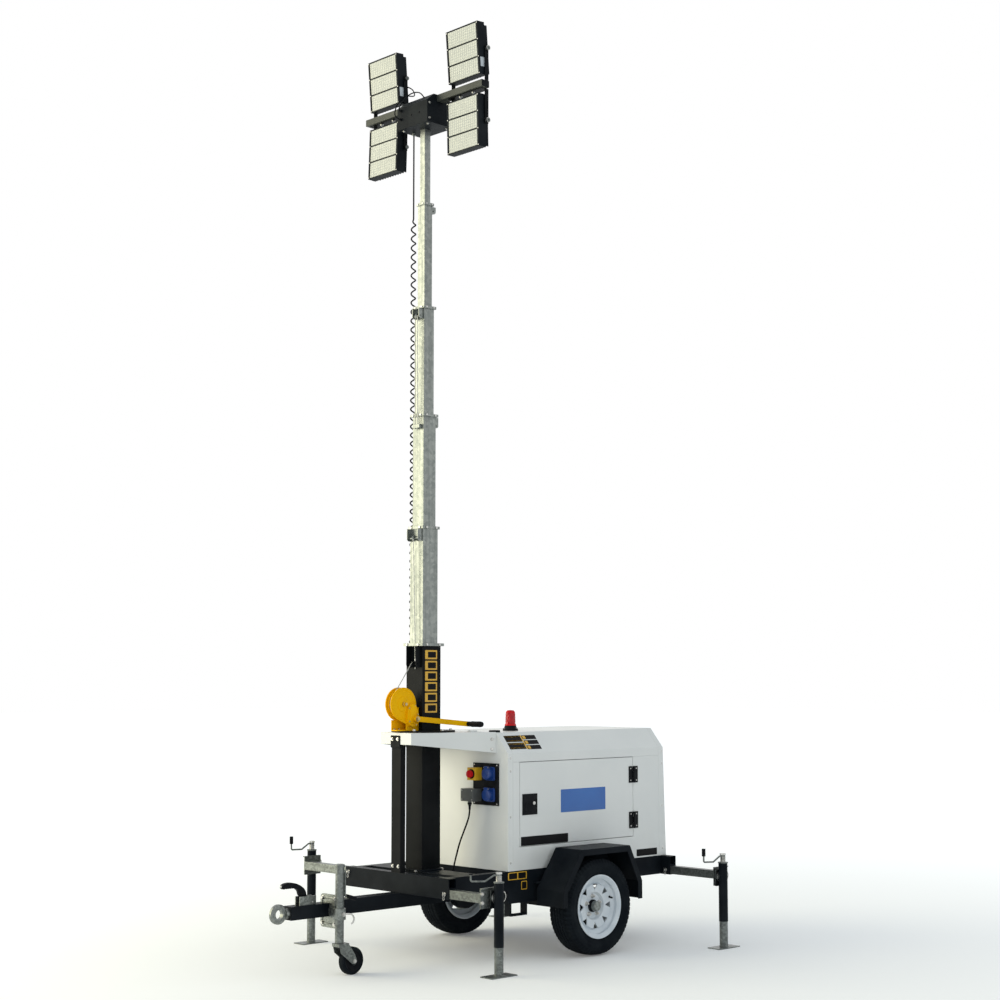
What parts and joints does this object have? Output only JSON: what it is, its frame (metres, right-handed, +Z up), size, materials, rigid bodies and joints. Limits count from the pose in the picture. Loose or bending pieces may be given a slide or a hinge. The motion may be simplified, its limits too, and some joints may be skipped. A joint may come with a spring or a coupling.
{
  "type": "mobile light tower",
  "caption": "Towable light tower: generator canopy on a wheeled chassis, sliding outriggers with jacks and a telescopic mast with tilting LED floodlights.",
  "frame": {"origin": "on the ground, at the middle of the length and width", "axes": "X rearward from the tow eye, Y from the left (socket panel and jockey wheel) side to the right, Z up"},
  "size_m": [2.739, 1.982, 5.4014],
  "materials": {
    "white_paint": "gloss",
    "black_paint": "semi-gloss",
    "galvanised": "dull zinc",
    "yellow_paint": "gloss",
    "grey_paint": "satin",
    "engine_grey": "matt",
    "tyre_rubber": "matt",
    "cord_rubber": "matt",
    "black_plastic": "matt",
    "grey_plastic": "matt",
    "red_plastic": "clear gloss"
  },
  "bodies": {
    "trailer": {"chassis_frame": "black_paint", "fuel_tank": "black_paint", "drawbar": "black_paint", "coupling": "galvanised", "jockey_tube": "galvanised", "axle": "black_paint", "mudguards": "black_paint", "canopy_front": "white_paint", "canopy_rear": "white_paint", "canopy_side_left": "white_paint", "canopy_side_right": "white_paint", "canopy_roof": "white_paint", "hinge_leaves": "black_paint", "engine_block": "engine_grey", "control_panel": "black_plastic", "panel_plug": "grey_plastic", "panel_lead": "cord_rubber", "beacon": "red_plastic", "bridge": "white_paint", "post": "black_paint", "mast_foot": "black_paint"},
    "wheel_left": {"tyre_left": "tyre_rubber", "rim_left": "white_paint"},
    "wheel_right": {"tyre_right": "tyre_rubber", "rim_right": "white_paint"},
    "jockey_swivel": {"jockey_fork": "galvanised"},
    "jockey_roller": {"jockey_wheel": "tyre_rubber"},
    "eye": {"tow_eye": "galvanised"},
    "lever": {"brake_lever": "black_paint"},
    "left_door": {"door_left": "white_paint", "door_hardware_left": "black_paint"},
    "right_door": {"door_right": "white_paint", "door_hardware_right": "black_paint"},
    "mast_lower": {"mast_base": "black_paint", "winch_frame": "yellow_paint", "mast_cord_1": "cord_rubber"},
    "mast_first": {"mast_section_1": "galvanised", "mast_cord_2": "cord_rubber"},
    "mast_second": {"mast_section_2": "galvanised", "mast_cord_3": "cord_rubber"},
    "mast_third": {"mast_section_3": "galvanised", "mast_cord_4": "cord_rubber"},
    "mast_fourth": {"mast_section_4": "galvanised", "mast_cord_5": "cord_rubber"},
    "mast_head": {"mast_section_5": "galvanised", "head_box": "black_paint", "lamp_bars": "grey_paint", "lamp_yokes": "black_paint"},
    "drum": {"winch_drum": "galvanised"},
    "crank": {"winch_crank": "yellow_paint"},
    "lamp_upper_left_body": {"lamp_upper_left": "black_paint"},
    "lamp_upper_right_body": {"lamp_upper_right": "black_paint"},
    "lamp_lower_left_body": {"lamp_lower_left": "black_paint"},
    "lamp_lower_right_body": {"lamp_lower_right": "black_paint"},
    "outrigger_front_left_body": {"outrigger_front_left": "galvanised"},
    "outrigger_front_right_body": {"outrigger_front_right": "galvanised"},
    "outrigger_rear_left_body": {"outrigger_rear_left": "galvanised"},
    "outrigger_rear_right_body": {"outrigger_rear_right": "galvanised"}
  },
  "joints": [
    {"name": "wheel_left_spin", "type": "hinge", "parent": "trailer", "child": "wheel_left", "pos_m": [0.5135, -0.571, 0.28], "axis": [0, 1, 0], "continuous": true},
    {"name": "wheel_right_spin", "type": "hinge", "parent": "trailer", "child": "wheel_right", "pos_m": [0.5135, 0.571, 0.28], "axis": [0, 1, 0], "continuous": true},
    {"name": "jockey_turn", "type": "hinge", "parent": "trailer", "child": "jockey_swivel", "pos_m": [-1.0065, -0.138, 0.176], "axis": [0, 0, 1], "continuous": true},
    {"name": "jockey_spin", "type": "hinge", "parent": "jockey_swivel", "child": "jockey_roller", "pos_m": [-0.9245, -0.138, 0.074], "axis": [0, 1, 0], "continuous": true},
    {"name": "eye_swivel", "type": "hinge", "parent": "trailer", "child": "eye", "pos_m": [-1.2525, 0, 0.342], "axis": [1, 0, 0], "continuous": true},
    {"name": "brake_pull", "type": "hinge", "parent": "trailer", "child": "lever", "pos_m": [-1.1465, 0, 0.402], "axis": [0, 1, 0], "range_deg": [0, 60]},
    {"name": "left_door_swing", "type": "hinge", "parent": "trailer", "child": "left_door", "pos_m": [1.0655, -0.425, 0.87], "axis": [0, 0, 1], "range_deg": [0, 90]},
    {"name": "right_door_swing", "type": "hinge", "parent": "trailer", "child": "right_door", "pos_m": [1.0655, 0.425, 0.87], "axis": [0, 0, -1], "range_deg": [0, 90]},
    {"name": "mast_turn", "type": "hinge", "parent": "trailer", "child": "mast_lower", "pos_m": [-0.2855, 0, 0.511], "axis": [0, 0, 1], "range_deg": [-170, 170]},
    {"name": "mast_slide_1", "type": "slide", "parent": "mast_lower", "child": "mast_first", "axis": [0, 0, 1], "range_m": [-0.56, 0.4], "deforming": ["mast_cord_1"]},
    {"name": "mast_slide_2", "type": "slide", "parent": "mast_first", "child": "mast_second", "axis": [0, 0, 1], "range_m": [-0.56, 0.4], "deforming": ["mast_cord_2"]},
    {"name": "mast_slide_3", "type": "slide", "parent": "mast_second", "child": "mast_third", "axis": [0, 0, 1], "range_m": [-0.56, 0.4], "deforming": ["mast_cord_3"]},
    {"name": "mast_slide_4", "type": "slide", "parent": "mast_third", "child": "mast_fourth", "axis": [0, 0, 1], "range_m": [-0.56, 0.4], "deforming": ["mast_cord_4"]},
    {"name": "mast_slide_5", "type": "slide", "parent": "mast_fourth", "child": "mast_head", "axis": [0, 0, 1], "range_m": [-0.39, 0.28], "deforming": ["mast_cord_5"]},
    {"name": "winch_crank_turn", "type": "hinge", "parent": "mast_lower", "child": "crank", "pos_m": [-0.4065, -0.06, 1.366], "axis": [0, -1, 0], "range_deg": [0, 170]},
    {"name": "winch_drum_turn", "type": "hinge", "parent": "mast_lower", "child": "drum", "pos_m": [-0.4705, -0.013, 1.45], "axis": [0, -1, 0], "range_deg": [-45, 0]},
    {"name": "lamp_upper_left_tilt", "type": "hinge", "parent": "mast_head", "child": "lamp_upper_left_body", "pos_m": [-0.2555, -0.359, 5.246], "axis": [0, -1, 0], "range_deg": [-45, 60]},
    {"name": "lamp_upper_right_tilt", "type": "hinge", "parent": "mast_head", "child": "lamp_upper_right_body", "pos_m": [-0.2555, 0.359, 5.246], "axis": [0, -1, 0], "range_deg": [-45, 60]},
    {"name": "lamp_lower_left_tilt", "type": "hinge", "parent": "mast_head", "child": "lamp_lower_left_body", "pos_m": [-0.2555, -0.359, 4.816], "axis": [0, -1, 0], "range_deg": [-45, 60]},
    {"name": "lamp_lower_right_tilt", "type": "hinge", "parent": "mast_head", "child": "lamp_lower_right_body", "pos_m": [-0.2555, 0.359, 4.816], "axis": [0, -1, 0], "range_deg": [-45, 60]},
    {"name": "outrigger_front_left_slide", "type": "slide", "parent": "trailer", "child": "outrigger_front_left_body", "axis": [0, -1, 0], "range_m": [-0.242, 0.255]},
    {"name": "outrigger_front_right_slide", "type": "slide", "parent": "trailer", "child": "outrigger_front_right_body", "axis": [0, 1, 0], "range_m": [-0.396, 0.101]},
    {"name": "outrigger_rear_left_slide", "type": "slide", "parent": "trailer", "child": "outrigger_rear_left_body", "axis": [0, -1, 0], "range_m": [-0.397, 0.055]},
    {"name": "outrigger_rear_right_slide", "type": "slide", "parent": "trailer", "child": "outrigger_rear_right_body", "axis": [0, 1, 0], "range_m": [-0.397, 0.055]}
  ],
  "couplings": [
    {"joint": "mast_slide_2", "follows": "mast_slide_1", "ratio": 1},
    {"joint": "mast_slide_3", "follows": "mast_slide_1", "ratio": 1},
    {"joint": "mast_slide_4", "follows": "mast_slide_1", "ratio": 1},
    {"joint": "mast_slide_5", "follows": "mast_slide_1", "ratio": 0.69},
    {"joint": "winch_drum_turn", "follows": "winch_crank_turn", "ratio": -0.25}
  ]
}
